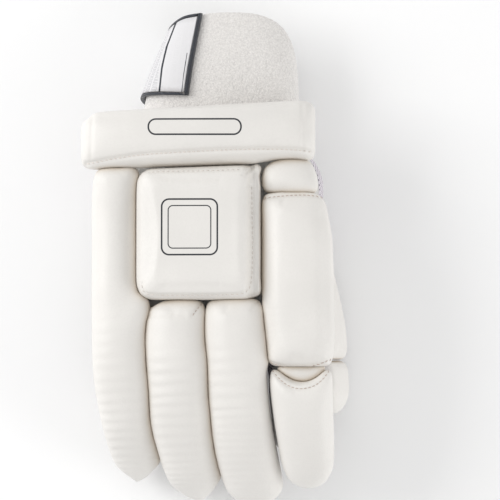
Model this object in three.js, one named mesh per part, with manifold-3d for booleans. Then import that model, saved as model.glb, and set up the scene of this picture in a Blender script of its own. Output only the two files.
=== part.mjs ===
// Cricket batting glove for the right hand, lying palm down as it rests by itself.
// Millimetres. X runs across the hand towards the thumb, Y from the fingertips to the wrist, Z up.
// The knuckle line is y = 0 while the pieces are made, and the finished glove is centred at the end.
import * as THREE from "three";
import { mergeVertices } from "three/addons/utils/BufferGeometryUtils.js";
import Module from "manifold-3d";

const wasm = await Module();
wasm.setup();

// Sizes of the hand
const backWidth = 134; // across the four finger rolls at the knuckles
const backLength = 72; // from the knuckle line to the cuff roll
const fingerReach = 112.6; // from the knuckle line to the longest fingertip, seen from above
const backHeight = 50; // top of the leather hand above the floor, at the knuckles
const handDepth = 20; // leather hand from back to palm, at the knuckles
const leanSlope = 0.11; // rise across the hand, because the thumb lies under the index side
const leather = 2; // wall of the leather hand

// Sizes of the wrist
const wristWidth = 90;
const wristHeight = 46; // top of the wrist above the floor
const wristDepth = 41.5;
const seamBehindCuff = 13; // from the cuff roll's lower edge to the wrist seam that it hides
const bandLength = 72.6; // towelling band, from the wrist seam to its highest rim
const bandWall = 4; // doubled towelling

// Sizes of the padding
const rollDepth = 20; // a finger roll, from the leather to its crown
const padDepth = 25; // the square pad over the hand
const cuffDepth = 25; // the cuff roll, from the wrist to its face
const cuffHeight = 32.4; // the cuff roll along the arm
const cuffLeft = -71.4; // outer end of the cuff roll, past the little finger
const cuffRight = 55.6; // its other end
const thumbRollDepth = 10;

// Sizes of the thumb
const thumbWidth = 24;
const thumbDepth = 23;
const thumbReach = 64; // from the knuckle line to the thumb's tip
const thumbRoot = 57; // the thumb starts this far behind the knuckle line, inside the palm
const thumbRight = 52.4; // the thumb's middle line, at its furthest out
const thumbFloor = 0.6 * thumbWidth; // height of that line above the floor
const thumbTurn = THREE.MathUtils.degToRad(25); // its padded side looks outwards and a little up

// Sizes of the wrist strap
const strapDepth = 2.4;
const strapBinding = 1.4; // width of the bound edge
const strapCorner = 14; // radius of its loose end
const strapSlant = 4.8; // how far its sewn end leans back

// How far each end takes to round over
const rollEnd = 7; // a finger roll's cut end
const stallEnd = 13;
const thumbRollEnd = 6;
const thumbTipEnd = 14;
const thumbStallEnd = 12;
const cuffEnd = 9;

// How the pieces reach over each other
const stallRoot = 9; // a stall starts this far inside the palm
const thumbInside = 4; // the thumb stall ends this far inside its padded tip
const cuffDroop = 5; // the cuff roll's ends hang this much lower than its middle
const cuffRaise = 1.4; // soft layer between the wrist and the cuff roll
const padSlope = { left: 5, right: 8.5, low: 4, high: 5 }; // how far the pad's four sides lean in

// Clearances
const clearance = 0.3; // between pieces that lie on each other
const sideGap = 0.7; // between padded pieces that lie side by side

const wristSeam = backLength + seamBehindCuff;
const wristUnder = wristHeight - wristDepth;
const knuckleUnder = backHeight - handDepth;

// Seen from above, the lines where neighbouring rolls meet. "along" is a share of backLength
// behind the knuckle line and of fingerReach before it; the others are shares of backWidth.
const seamRows = [
  { along: 1.0, outerLittle: -0.482, littleRing: -0.313, ringMiddle: -0.037, middleIndex: 0.196, outerIndex: 0.418 },
  { along: 0.8, outerLittle: -0.494, littleRing: -0.313, ringMiddle: -0.037, middleIndex: 0.194, outerIndex: 0.440 },
  { along: 0.6, outerLittle: -0.498, littleRing: -0.313, ringMiddle: -0.037, middleIndex: 0.194, outerIndex: 0.478 },
  { along: 0.3, outerLittle: -0.497, littleRing: -0.313, ringMiddle: -0.037, middleIndex: 0.194, outerIndex: 0.493 },
  { along: 0.0, outerLittle: -0.498, littleRing: -0.308, ringMiddle: -0.036, middleIndex: 0.194, outerIndex: 0.494 },
  { along: -0.05, outerLittle: -0.498, littleRing: -0.27, ringMiddle: -0.032, middleIndex: 0.198, outerIndex: 0.496 },
  { along: -0.12, outerLittle: -0.497, littleRing: -0.276, ringMiddle: -0.039, middleIndex: 0.204, outerIndex: 0.498 },
  { along: -0.21, outerLittle: -0.495, littleRing: -0.277, ringMiddle: -0.034, middleIndex: 0.211, outerIndex: 0.497 },
  { along: -0.34, outerLittle: -0.492, littleRing: -0.271, ringMiddle: -0.023, middleIndex: 0.222, outerIndex: 0.490 },
  { along: -0.43, outerLittle: -0.484, littleRing: -0.264, ringMiddle: -0.022, middleIndex: 0.228, outerIndex: 0.489 },
  { along: -0.55, outerLittle: -0.467, littleRing: -0.259, ringMiddle: -0.013, middleIndex: 0.239, outerIndex: 0.492 },
  { along: -0.66, outerLittle: -0.447, littleRing: -0.246, ringMiddle: -0.004, middleIndex: 0.254, outerIndex: 0.495 },
  { along: -0.76, outerLittle: -0.424, littleRing: -0.222, ringMiddle: 0.01, middleIndex: 0.27, outerIndex: 0.497 },
  { along: -0.89, outerLittle: -0.402, littleRing: -0.197, ringMiddle: 0.039, middleIndex: 0.291, outerIndex: 0.493 },
  { along: -1.0, outerLittle: -0.385, littleRing: -0.179, ringMiddle: 0.063, middleIndex: 0.306, outerIndex: 0.485 },
];

// The fingers. reach, straight and bend are shares of fingerReach: to the tip, to where the finger
// starts to bend, and the bend's radius. root and end are the stall's middle, shares of backWidth.
const fingers = {
  little: { reach: 0.865, straight: 0.195, bend: 0.71, root: -0.343, end: -0.313 },
  ring: { reach: 0.966, straight: 0.24, bend: 0.746, root: -0.134, end: -0.075 },
  middle: { reach: 0.99, straight: 0.266, bend: 0.782, root: 0.082, end: 0.158 },
  index: { reach: 0.903, straight: 0.329, bend: 0.693, root: 0.299, end: 0.336 },
};
const stallGap = 2.7; // between neighbouring stalls at their roots
const stallWidth = ((fingers.index.root - fingers.little.root) / 3) * backWidth - stallGap;
const stallTip = 0.84; // share of the stall's width that is left at its end
const stallShort = 0.11; // radians of bend by which a stall stops short of its roll's tip

// The padded rolls. from and to are shares as in seamRows, and to is left out where a roll runs to
// its fingertip. left and right name its seams. tip is the rounded length of its fingertip and dip
// the depth of its hollowed wrist end, shares of rollDepth, and point is how sharp the tip is.
const rolls = {
  little_finger_roll: { finger: "little", from: 1, left: "outerLittle", right: "littleRing", tip: 1.1, point: 0.62 },
  ring_finger_roll: { finger: "ring", from: -0.03, left: "littleRing", right: "ringMiddle", tip: 1.4, point: 0.62 },
  middle_finger_roll: { finger: "middle", from: -0.017, left: "ringMiddle", right: "middleIndex", tip: 0.9, point: 0.46 },
  index_base_roll: { finger: "index", from: 1, to: 0.793, left: "middleIndex", right: "outerIndex", depth: 0.88 },
  index_knuckle_roll: { finger: "index", from: 0.783, to: -0.331, left: "middleIndex", right: "outerIndex" },
  index_tip_roll: { finger: "index", from: -0.338, left: "middleIndex", right: "outerIndex", tip: 0.85, point: 0.5, dip: 0.43 },
};

// The leather hand between the knuckles and the wrist. along is a share of wristSeam, left and
// right are shares of backWidth, and drop is how far its underside has come down to the wrist's.
const palmRows = [
  { along: -0.085, left: -0.446, right: 0.404, drop: 0, square: 3.6 },
  { along: 0.0, left: -0.448, right: 0.41, drop: 0, square: 3.6 },
  { along: 0.15, left: -0.448, right: 0.425, drop: 0.1, square: 3.6 },
  { along: 0.39, left: -0.448, right: 0.444, drop: 0.38, square: 3.4 },
  { along: 0.68, left: -0.425, right: 0.448, drop: 0.745, square: 3.1 },
  { along: 0.86, left: -0.373, right: 0.418, drop: 0.94, square: 2.9 },
];

// The wrist. along is a share of bandLength, and left and right are shares of wristWidth.
const wristRows = [
  { along: 0.0, left: -0.462, right: 0.533, height: 1.0 },
  { along: 0.33, left: -0.428, right: 0.53, height: 0.985 },
  { along: 0.48, left: -0.388, right: 0.524, height: 0.97 },
  { along: 0.6, left: -0.352, right: 0.517, height: 0.96 },
  { along: 0.76, left: -0.296, right: 0.5, height: 0.945 },
  { along: 0.87, left: -0.256, right: 0.483, height: 0.935 },
  { along: 1.0, left: -0.211, right: 0.45, height: 0.925 },
];

// The towelling band's rim, as a share of bandLength at each angle round the wrist: 0 degrees is
// the thumb side, 90 the back of the hand and 270 the palm.
const rimRows = [
  { angle: 0, rim: 0.67 },
  { angle: 20, rim: 0.84 },
  { angle: 40, rim: 0.93 },
  { angle: 60, rim: 0.975 },
  { angle: 80, rim: 0.995 },
  { angle: 100, rim: 1.0 },
  { angle: 130, rim: 0.985 },
  { angle: 160, rim: 0.94 },
  { angle: 180, rim: 0.9 },
  { angle: 225, rim: 0.83 },
  { angle: 270, rim: 0.79 },
  { angle: 315, rim: 0.72 },
  { angle: 340, rim: 0.66 },
  { angle: 360, rim: 0.67 },
];

// The strap round the band. It starts on the back of the hand and ends on the palm side. low and
// high are its edges as shares of bandLength.
const strapRows = [
  { angle: 109, low: 0.36, high: 0.985 },
  { angle: 140, low: 0.37, high: 0.965 },
  { angle: 180, low: 0.36, high: 0.885 },
  { angle: 225, low: 0.28, high: 0.815 },
  { angle: 270, low: 0.23, high: 0.775 },
  { angle: 322, low: 0.21, high: 0.7 },
];

// The thumb's middle line. along is a share of its whole length from root to tip, out is a share
// of thumbRight, rise one of thumbDepth, and size one of the thumb's width and depth.
const thumbRows = [
  { along: 0.0, out: 0.68, rise: 0.35, size: 0.92 },
  { along: 0.22, out: 0.78, rise: 0.175, size: 0.96 },
  { along: 0.46, out: 0.9, rise: 0.045, size: 1.0 },
  { along: 0.6, out: 0.965, rise: 0.01, size: 1.0 },
  { along: 0.74, out: 0.985, rise: 0, size: 1.0 },
  { along: 0.88, out: 1.0, rise: 0, size: 1.0 },
  { along: 1.0, out: 1.0, rise: 0, size: 1.0 },
];

const mix = THREE.MathUtils.lerp;
const clamp01 = (value) => THREE.MathUtils.clamp(value, 0, 1);

// A smooth curve through one column of a table, at a place on the table's first column.
function read(rows, column, place) {
  const key = Object.keys(rows[0])[0];
  const ordered = rows[0][key] < rows.at(-1)[key] ? rows : [...rows].reverse();
  const last = ordered.length - 1;
  const held = THREE.MathUtils.clamp(place, ordered[0][key], ordered[last][key]);
  let i = 0;
  while (i < last - 1 && held > ordered[i + 1][key]) i += 1;
  const slope = (k) => {
    const a = ordered[Math.max(0, k - 1)];
    const b = ordered[Math.min(last, k + 1)];
    return (b[column] - a[column]) / (b[key] - a[key]);
  };
  const span = ordered[i + 1][key] - ordered[i][key];
  const t = (held - ordered[i][key]) / span;
  const rise = ordered[i + 1][column] - ordered[i][column];
  const start = slope(i) * span;
  const end = slope(i + 1) * span;
  return ordered[i][column] + start * t + (3 * rise - 2 * start - end) * t ** 2 + (start + end - 2 * rise) * t ** 3;
}

const alongToY = (along) => along * (along >= 0 ? backLength : fingerReach);
const yToAlong = (y) => y / (y >= 0 ? backLength : fingerReach);
const seamX = (name, y) => read(seamRows, name, yToAlong(y)) * backWidth;
const cuffLow = (x) => backLength + 0.032 * x;
const cuffHigh = (x) => backLength + cuffHeight + 0.055 * x;

// Height of the leather's back at y, before the lean.
const backTop = (y) => mix(backHeight, wristHeight, clamp01(y / wristSeam));

// The whole hand leans up towards the index finger, and is level again at the wrist.
function lean(point) {
  const level = THREE.MathUtils.smoothstep(point.y, 0.38 * wristSeam, wristSeam);
  point.z += leanSlope * point.x * (1 - level);
  return point;
}

// One closed ring of a rounded section. across and up are half sizes, and a larger square number
// gives squarer corners. put turns a place on the section into a point.
function ring(sides, across, up, down, square, put) {
  const power = 2 / square;
  const points = [];
  for (let k = 0; k < sides; k += 1) {
    const angle = (k / sides) * 2 * Math.PI;
    const c = Math.cos(angle);
    const s = Math.sin(angle);
    const a = across * Math.sign(c) * Math.abs(c) ** power;
    const b = (s > 0 ? up : down) * Math.sign(s) * Math.abs(s) ** power;
    points.push(put(a, b));
  }
  return points;
}

// Joins rings into one closed surface. Strips between opposite points close its two ends.
function skin(rings) {
  const sides = rings[0].length;
  const positions = [];
  const triangle = (a, b, c) => [a, b, c].forEach((p) => positions.push(p.x, p.y, p.z));
  for (let i = 0; i + 1 < rings.length; i += 1) {
    for (let k = 0; k < sides; k += 1) {
      const n = (k + 1) % sides;
      triangle(rings[i][k], rings[i][n], rings[i + 1][n]);
      triangle(rings[i][k], rings[i + 1][n], rings[i + 1][k]);
    }
  }
  const close = (points) => {
    triangle(points[0], points[sides - 1], points[1]);
    for (let k = 1; k < sides / 2 - 1; k += 1) {
      triangle(points[k], points[sides - k], points[sides - k - 1]);
      triangle(points[k], points[sides - k - 1], points[k + 1]);
    }
    triangle(points[sides / 2 - 1], points[sides / 2 + 1], points[sides / 2]);
  };
  close(rings[0]);
  close([...rings.at(-1).slice(0, 1), ...rings.at(-1).slice(1).reverse()]);
  return outward(new THREE.BufferGeometry().setAttribute("position", new THREE.Float32BufferAttribute(positions, 3)));
}

// Joins an outer and an inner run of rings into one open tube with a wall.
function tube(outer, inner) {
  return skinClosed([...outer, ...[...inner].reverse(), outer[0]]);
}

// A surface whose last ring is its first, such as the wall of an open tube.
function skinClosed(rings) {
  const sides = rings[0].length;
  const positions = [];
  for (let i = 0; i + 1 < rings.length; i += 1) {
    for (let k = 0; k < sides; k += 1) {
      const n = (k + 1) % sides;
      const quad = [rings[i][k], rings[i][n], rings[i + 1][n], rings[i][k], rings[i + 1][n], rings[i + 1][k]];
      quad.forEach((p) => positions.push(p.x, p.y, p.z));
    }
  }
  return outward(new THREE.BufferGeometry().setAttribute("position", new THREE.Float32BufferAttribute(positions, 3)));
}

// Turns a closed surface so that its faces point out.
function outward(geometry) {
  const p = geometry.attributes.position;
  const a = new THREE.Vector3();
  const b = new THREE.Vector3();
  const c = new THREE.Vector3();
  let volume = 0;
  for (let i = 0; i < p.count; i += 3) {
    a.fromBufferAttribute(p, i);
    b.fromBufferAttribute(p, i + 1);
    c.fromBufferAttribute(p, i + 2);
    volume += a.dot(b.cross(c));
  }
  if (volume > 0) return geometry;
  for (let i = 0; i < p.count; i += 3) {
    b.fromBufferAttribute(p, i + 1);
    c.fromBufferAttribute(p, i + 2);
    p.setXYZ(i + 1, c.x, c.y, c.z);
    p.setXYZ(i + 2, b.x, b.y, b.z);
  }
  return geometry;
}

function toSolid(geometry) {
  const bare = new THREE.BufferGeometry().setAttribute("position", geometry.getAttribute("position"));
  if (geometry.index) bare.setIndex(geometry.index);
  const merged = mergeVertices(bare, 1e-4);
  return new wasm.Manifold(
    new wasm.Mesh({
      numProp: 3,
      vertProperties: new Float32Array(merged.attributes.position.array),
      triVerts: new Uint32Array(merged.index.array),
    }),
  );
}

function toGeometry(solid) {
  const mesh = solid.getMesh();
  return new THREE.BufferGeometry()
    .setAttribute("position", new THREE.BufferAttribute(new Float32Array(mesh.vertProperties), 3))
    .setIndex(new THREE.BufferAttribute(new Uint32Array(mesh.triVerts), 1));
}

// The line along a finger where its roll lies on its stall: straight, then bent down in an arc.
function fingerLine(finger, fromY) {
  const bendY = -finger.straight * fingerReach;
  const radius = finger.bend * fingerReach;
  const straight = Math.max(0, fromY - bendY);
  return {
    radius,
    straight,
    at(distance) {
      if (distance <= straight) {
        const y = fromY - distance;
        return { y, z: backTop(y), angle: 0 };
      }
      const started = Math.asin(Math.max(0, bendY - fromY) / radius);
      const angle = started + (distance - straight) / radius;
      return { y: bendY - radius * Math.sin(angle), z: backHeight - radius * (1 - Math.cos(angle)), angle };
    },
    // The distance at which a line lifted by this much has reached a y.
    reach(y, lift) {
      if (y >= bendY) return fromY - y;
      const started = Math.asin(Math.max(0, bendY - fromY) / radius);
      return straight + radius * (Math.asin((bendY - y) / (radius + lift)) - started);
    },
  };
}

// Distances along a piece, close together at its rounded ends.
function stations(length, headRound, tailRound, steps) {
  const head = [0, 0.12, 0.4, 1].map((s) => s * headRound);
  const tail = [1, 0.62, 0.32, 0.12, 0.025].map((s) => length - s * tailRound);
  const middle = [];
  for (let i = 1; i < steps; i += 1) middle.push(mix(headRound, length - tailRound, i / steps));
  return [...head, ...middle, ...tail];
}

// How full a rounded end is at a distance from it.
const fullness = (distance, round, power) => (1 - (1 - clamp01(distance / round)) ** 2) ** power;

// A padded roll along a finger, between its two seams.
function fingerRoll(spec) {
  const finger = fingers[spec.finger];
  const depth = rollDepth * (spec.depth ?? 1);
  const waist = 0.42 * depth;
  const seamMiddle = (seamX(spec.left, alongToY(spec.from)) + seamX(spec.right, alongToY(spec.from))) / 2;
  const fromY = spec.from === 1 ? cuffLow(seamMiddle) - sideGap : alongToY(spec.from);
  const line = fingerLine(finger, fromY);
  const toTip = spec.to === undefined;
  const length = line.reach(toTip ? -finger.reach * fingerReach : alongToY(spec.to), waist);
  const headRound = rollEnd;
  const tipRound = toTip ? spec.tip * rollDepth : headRound;
  const rings = stations(length, headRound, tipRound, Math.max(3, Math.round(length / 15))).map((d) => {
    const place = line.at(d);
    const seamY = place.y - waist * Math.sin(place.angle);
    const left = seamX(spec.left, seamY) + sideGap / 2;
    const right = seamX(spec.right, seamY) - sideGap / 2;
    const head = fullness(d, headRound, 0.5);
    const tail = toTip ? fullness(length - d, tipRound, spec.point) : fullness(length - d, headRound, 0.5);
    const thin = toTip ? fullness(length - d, tipRound, 0.5) : 0.5 + 0.5 * tail;
    const across = ((right - left) / 2) * (0.84 + 0.16 * head) * (toTip ? tail : 0.84 + 0.16 * tail);
    const up = (depth - waist) * (0.45 + 0.55 * head) * thin;
    const down = (waist - clearance / 2) * (toTip ? thin : 1);
    const dip = (spec.dip ?? 0) * depth * (1 - clamp01(d / (3 * headRound))) ** 2;
    return ring(16, across, up, down, 2.5, (a, b) => {
      const lift = waist + b;
      const back = dip * (1 - (a / Math.max(across, 1e-3)) ** 2);
      const y = place.y - lift * Math.sin(place.angle) - back * Math.cos(place.angle);
      const z = place.z + lift * Math.cos(place.angle) - back * Math.sin(place.angle);
      return lean(new THREE.Vector3((left + right) / 2 + a, y, z));
    });
  });
  return skin(rings);
}

// The small pad in the hollow at the index finger's joint, lower than the rolls on both sides.
function jointGusset() {
  const spec = rolls.index_tip_roll;
  const from = alongToY(rolls.index_knuckle_roll.to) - sideGap;
  const left = seamX(spec.left, from) + sideGap;
  const right = seamX(spec.right, from) - sideGap;
  const half = 0.84 * ((right - left) / 2);
  const hollow = spec.dip * rollDepth - 2 * sideGap;
  const line = fingerLine(fingers.index, from);
  const steps = 8;
  const layer = (lift, size) => {
    const put = (share, back) => {
      const place = line.at(back);
      const x = (left + right) / 2 + share * half * size;
      const y = place.y - lift * Math.sin(place.angle);
      return lean(new THREE.Vector3(x, y, place.z + lift * Math.cos(place.angle)));
    };
    const outline = [];
    for (let k = 0; k <= steps; k += 1) {
      const share = mix(-1, 1, k / steps);
      outline.push(put(share, Math.max(sideGap, hollow * (1 - share ** 2) * size)));
    }
    for (let k = steps; k >= 0; k -= 1) outline.push(put(mix(-1, 1, k / steps), 0));
    return outline;
  };
  return skin([layer(clearance, 0.9), layer(0.3 * rollDepth, 0.9), layer(0.52 * rollDepth, 0.8)]);
}

// A stall of the leather hand, as a solid of its outside or its inside.
function stallSolid(finger, inset, fromY) {
  const line = fingerLine(finger, fromY);
  const bend = Math.asin((finger.reach - finger.straight) / (finger.bend + (0.42 * rollDepth) / fingerReach));
  const length = line.straight + line.radius * (bend - stallShort) - inset;
  const tipRound = stallEnd;
  const rings = stations(length, 1, tipRound, 5).map((d) => {
    const place = line.at(d);
    const share = clamp01(-place.y / fingerReach);
    const middle = mix(finger.root, finger.end, share / finger.reach) * backWidth;
    const full = fullness(length - d, tipRound, 0.5);
    const slim = mix(1, stallTip, share);
    const across = ((stallWidth / 2) * slim - inset) * mix(0.1, 1, full);
    const half = ((handDepth / 2) * slim - inset) * mix(0.1, 1, full);
    const centre = -(handDepth / 2) * slim - 0.1;
    return ring(12, across, half, half, 2.8, (a, b) => {
      const lift = centre + b;
      const y = place.y - lift * Math.sin(place.angle);
      return lean(new THREE.Vector3(middle + a, y, place.z + lift * Math.cos(place.angle)));
    });
  });
  return toSolid(skin(rings));
}

// The palm's section at y: its edges, top and underside.
function palmSection(y) {
  const along = y / wristSeam;
  const wrist = { along: 1, left: wristEdge("left", 0) / backWidth, right: wristEdge("right", 0) / backWidth };
  const rows = [...palmRows, { ...wrist, drop: 1, square: 2.6 }];
  return {
    left: read(rows, "left", along) * backWidth,
    right: read(rows, "right", along) * backWidth,
    top: backTop(y) - clearance / 2,
    under: mix(knuckleUnder, wristUnder, read(rows, "drop", along)),
    square: read(rows, "square", along),
  };
}

function palmRing(y, inset, sides = 20) {
  const s = palmSection(y);
  const half = (s.top - s.under) / 2 - inset;
  const middle = (s.left + s.right) / 2;
  return ring(sides, (s.right - s.left) / 2 - inset, half, half, s.square, (a, b) =>
    lean(new THREE.Vector3(middle + a, y, (s.top + s.under) / 2 + b)),
  );
}

const webY = -0.085 * wristSeam; // the palm's front, between the fingers

function palmSolid(inset) {
  const from = wristSeam + (inset > 0 ? 5 : 0);
  const steps = 10;
  const rings = [];
  for (let i = 0; i <= steps; i += 1) {
    const y = mix(wristSeam, webY + inset, i / steps);
    rings.push(palmRing(y, inset));
  }
  if (inset > 0) rings.unshift(rings[0].map((p) => new THREE.Vector3(p.x, from, p.z)));
  return toSolid(skin(rings));
}

// The thumb's middle line and size at a share of its length.
function thumbAt(share) {
  return {
    x: read(thumbRows, "out", share) * thumbRight,
    y: mix(thumbRoot, -thumbReach, share),
    z: thumbFloor + read(thumbRows, "rise", share) * thumbDepth,
    size: read(thumbRows, "size", share),
  };
}

const thumbNormal = new THREE.Vector3(Math.cos(thumbTurn), 0, Math.sin(thumbTurn));
const thumbAcross = new THREE.Vector3(-Math.sin(thumbTurn), 0, Math.cos(thumbTurn));
const thumbLength = thumbRoot + thumbReach;

function thumbSolid(inset) {
  const end = thumbLength - thumbInside - inset;
  const tipRound = thumbStallEnd;
  const rings = stations(end, 1, tipRound, 6).map((d) => {
    const place = thumbAt(d / thumbLength);
    const full = mix(0.1, 1, fullness(end - d, tipRound, 0.5));
    const across = ((thumbWidth / 2) * place.size - inset) * full;
    const half = ((thumbDepth / 2) * place.size - inset) * full;
    return ring(12, across, half, half, 2.5, (a, b) =>
      new THREE.Vector3(place.x, place.y, place.z).addScaledVector(thumbAcross, a).addScaledVector(thumbNormal, b),
    );
  });
  return toSolid(skin(rings));
}

// A padded roll on the thumb's outer side, between two shares of the thumb's length.
function thumbRoll(fromShare, toShare, toTip) {
  const from = fromShare * thumbLength;
  const length = toShare * thumbLength - from;
  const headRound = thumbRollEnd;
  const tipRound = toTip ? thumbTipEnd : headRound;
  const waist = 0.38 * thumbRollDepth;
  const rings = stations(length, headRound, tipRound, 5).map((d) => {
    const place = thumbAt((from + d) / thumbLength);
    const head = fullness(d, headRound, 0.5);
    const tail = fullness(length - d, tipRound, 0.5);
    const thin = toTip ? tail : 0.5 + 0.5 * tail;
    const across = 0.56 * thumbWidth * place.size * (0.86 + 0.14 * head) * (toTip ? tail : 0.86 + 0.14 * tail);
    const up = (thumbRollDepth - waist) * (0.5 + 0.5 * head) * thin;
    const down = waist * thin;
    const foot = (thumbDepth / 2) * place.size + clearance;
    return ring(12, across, up, down, 2.5, (a, b) =>
      new THREE.Vector3(place.x, place.y, place.z)
        .addScaledVector(thumbAcross, a)
        .addScaledVector(thumbNormal, foot + waist + b),
    );
  });
  return skin(rings);
}

// A box between two corners, as a solid to cut with.
function block(low, high) {
  const size = new THREE.Vector3().subVectors(high, low);
  const geometry = new THREE.BoxGeometry(size.x, size.y, size.z);
  const middle = low.clone().addScaledVector(size, 0.5);
  geometry.translate(middle.x, middle.y, middle.z);
  return toSolid(geometry);
}

// The leather hand in one piece: palm, finger stalls and thumb, hollow and open at the wrist.
function leatherHand() {
  const names = Object.keys(fingers);
  const join = (inset) => {
    const palm = palmSolid(inset);
    const stalls = names.map((name) => stallSolid(fingers[name], inset, webY + stallRoot));
    return stalls.reduce((whole, stall) => whole.add(stall), palm).add(thumbSolid(inset));
  };
  return join(0).subtract(join(leather));
}

// Cuts the leather hand at the roots of its stalls, so that each stall is a piece of its own.
function cutHand() {
  const hand = leatherHand();
  const far = 3 * (backWidth + fingerReach);
  const stallCut = webY - 2;
  const thumbTop = thumbFloor + thumbDepth / 2 + 3;
  const thumbCut = -0.12 * wristSeam;
  const pieces = {};
  const thumbZone = block(new THREE.Vector3(0, -far, -far), new THREE.Vector3(far, thumbCut, thumbTop));
  const thumbOnly = block(new THREE.Vector3(0, -far, -far), new THREE.Vector3(far, thumbCut + clearance, thumbTop));
  const fingerZone = block(new THREE.Vector3(-far, -far, -far), new THREE.Vector3(far, stallCut + clearance, far));
  const thumbOutside = thumbSolid(-1);
  pieces.thumb_stall = hand.intersect(thumbZone).intersect(thumbOutside);
  const rest = hand.subtract(thumbOnly.intersect(thumbOutside));
  const beforeCut = block(new THREE.Vector3(-far, -far, -far), new THREE.Vector3(far, stallCut, far));
  for (const [name, finger] of Object.entries(fingers)) {
    pieces[name + "_stall"] = rest.intersect(beforeCut).intersect(stallSolid(finger, -0.4, webY + stallRoot));
  }
  pieces.palm = rest.subtract(fingerZone);
  return pieces;
}

// The wrist's edge, and a point on its section at an angle round it, lifted off by an offset.
function wristEdge(side, along) {
  return read(wristRows, side, along) * wristWidth;
}

function wristPoint(angle, along, offset) {
  const left = wristEdge("left", along) - offset;
  const right = wristEdge("right", along) + offset;
  const top = wristHeight * read(wristRows, "height", along) - clearance / 2 + offset;
  const under = wristUnder - offset;
  const power = 2 / 2.6;
  const turn = THREE.MathUtils.degToRad(angle);
  const c = Math.cos(turn);
  const s = Math.sin(turn);
  return new THREE.Vector3(
    (left + right) / 2 + ((right - left) / 2) * Math.sign(c) * Math.abs(c) ** power,
    wristSeam + along * bandLength,
    (top + under) / 2 + ((top - under) / 2) * Math.sign(s) * Math.abs(s) ** power,
  );
}

// The towelling band: an open tube whose rim rises over the back of the hand.
function wristBand() {
  const sides = 26;
  const shares = [0, 0.2, 0.4, 0.6, 0.8, 0.94, 1];
  const start = clearance / bandLength;
  const wall = (inset) =>
    shares.map((share) => {
      const points = [];
      for (let k = 0; k < sides; k += 1) {
        const angle = (k / sides) * 360;
        points.push(wristPoint(angle, mix(start, read(rimRows, "rim", angle), share), -inset));
      }
      return points;
    });
  return tube(wall(0), wall(bandWall));
}

// The strap's middle line, measured along its length from its sewn end.
const strapSteps = 60;
const strapStart = strapRows[0].angle;
const strapEnd = strapRows.at(-1).angle;
const strapLengths = [0];
for (let i = 1; i <= strapSteps; i += 1) {
  const place = (k) => {
    const angle = mix(strapStart, strapEnd, k / strapSteps);
    const middle = (read(strapRows, "low", angle) + read(strapRows, "high", angle)) / 2;
    return wristPoint(angle, middle, clearance + strapDepth / 2);
  };
  strapLengths.push(strapLengths[i - 1] + place(i).distanceTo(place(i - 1)));
}
const strapLength = strapLengths.at(-1);

function strapAngle(distance) {
  let i = 0;
  while (i < strapSteps - 1 && strapLengths[i + 1] < distance) i += 1;
  const share = (distance - strapLengths[i]) / (strapLengths[i + 1] - strapLengths[i]);
  return mix(strapStart, strapEnd, (i + share) / strapSteps);
}

// A point of the strap: distance along it, height across it in millimetres from its lower edge.
function strapPoint(distance, height, offset) {
  const angle = strapAngle(distance);
  const low = read(strapRows, "low", angle) * bandLength;
  return wristPoint(angle, (low + height) / bandLength, clearance + offset);
}

function strapWidth(distance) {
  const angle = strapAngle(distance);
  return (read(strapRows, "high", angle) - read(strapRows, "low", angle)) * bandLength;
}

// How far the strap's edge is drawn in at a distance, where its loose end is rounded.
function strapRound(distance, corner, end) {
  const short = clamp01((distance - (end - corner)) / corner) * corner;
  return corner - Math.sqrt(Math.max(0, corner ** 2 - short ** 2));
}

// Places along the strap where it is drawn, up to the start of its rounded end.
const strapRuns = 25;
const strapStops = Array.from({ length: strapRuns + 1 }, (_, i) => ((strapLength - strapCorner) * i) / strapRuns);
const slantAt = (i) => strapSlant * Math.max(0, 1 - (5 * i) / strapRuns);

// The strap's panel inside its bound edge.
function strapPanel() {
  const inset = strapBinding + 1.5 * clearance;
  const end = strapLength - inset;
  const corner = strapCorner - inset;
  const across = 3;
  const places = [...strapStops];
  places[0] = inset;
  [0.35, 0.62, 0.82, 0.95].forEach((s) => places.push(end - corner + corner * s));
  const rings = places.map((distance, i) => {
    const low = inset + strapRound(distance, corner, end);
    const high = strapWidth(distance) - low;
    const point = (share, offset) => {
      const height = mix(low, high, share);
      return strapPoint(distance + (slantAt(i) * height) / strapWidth(distance), height, offset);
    };
    const outline = [];
    for (let k = 0; k <= across; k += 1) outline.push(point(k / across, strapDepth));
    for (let k = across; k >= 0; k -= 1) outline.push(point(k / across, 0));
    return outline;
  });
  return skin(rings);
}

// The strap's bound edge: one closed loop of narrow section round the panel.
function strapEdge() {
  const corner = strapCorner;
  const outline = strapStops.map((distance) => [distance, 0]);
  const arc = (from, upper) => {
    for (let k = 0; k <= 4; k += 1) {
      const turn = THREE.MathUtils.degToRad(from + 18 * k + (upper ? 0 : 18));
      const distance = strapLength - corner + corner * Math.cos(turn);
      const middle = upper ? strapWidth(distance) - corner : corner;
      outline.push([distance, middle + corner * Math.sin(turn)]);
    }
  };
  arc(-90, false);
  arc(0, true);
  for (let i = strapStops.length - 1; i >= 0; i -= 1) {
    outline.push([strapStops[i] + slantAt(i), strapWidth(strapStops[i])]);
  }
  const head = 3;
  for (let k = 1; k < head; k += 1) {
    outline.push([strapSlant * (1 - k / head), strapWidth(0) * (1 - k / head)]);
  }
  const count = outline.length;
  const rings = outline.map(([d, h], i) => {
    const [d0, h0] = outline[(i + count - 1) % count];
    const [d1, h1] = outline[(i + 1) % count];
    const reach = strapBinding / Math.hypot(d1 - d0, h1 - h0);
    const inner = [d - (h1 - h0) * reach, h + (d1 - d0) * reach];
    return [
      strapPoint(d, h, 0),
      strapPoint(d, h, strapDepth),
      strapPoint(...inner, strapDepth),
      strapPoint(...inner, 0),
    ];
  });
  return skinClosed([...rings, rings[0]]);
}

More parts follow.
